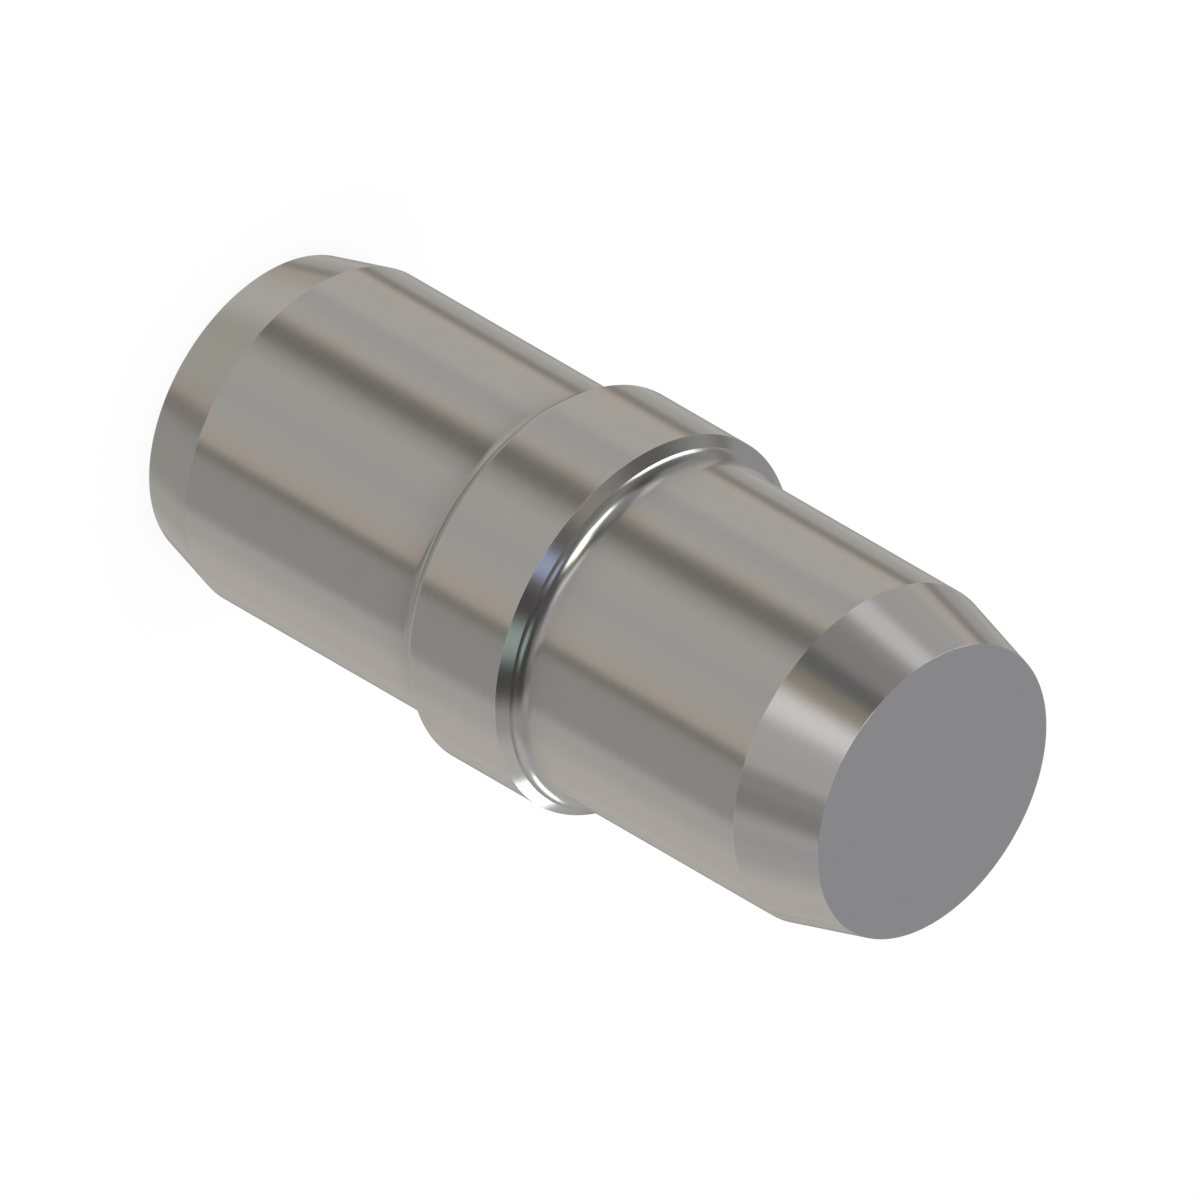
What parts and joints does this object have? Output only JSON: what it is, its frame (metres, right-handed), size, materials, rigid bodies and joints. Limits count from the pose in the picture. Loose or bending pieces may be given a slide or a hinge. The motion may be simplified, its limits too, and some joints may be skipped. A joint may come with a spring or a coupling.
{
  "type": "stepped dowel pin",
  "caption": "Solid round steel dowel pin with a raised collar at mid-length, hollow fillets beside the collar and a long lead-in cone at each end.",
  "frame": {"origin": "centre of the lower end face, the one with the shorter lead-in cone, which the pin stands on", "axes": "+Z along the pin's axis, from the lower end to the upper end; X and Y are equal, because the pin is round"},
  "size_m": [0.0142, 0.0142, 0.0318],
  "materials": {
    "steel": "fine ground, satin"
  },
  "bodies": {
    "root": {"stepped_dowel_pin": "steel"}
  },
  "joints": []
}
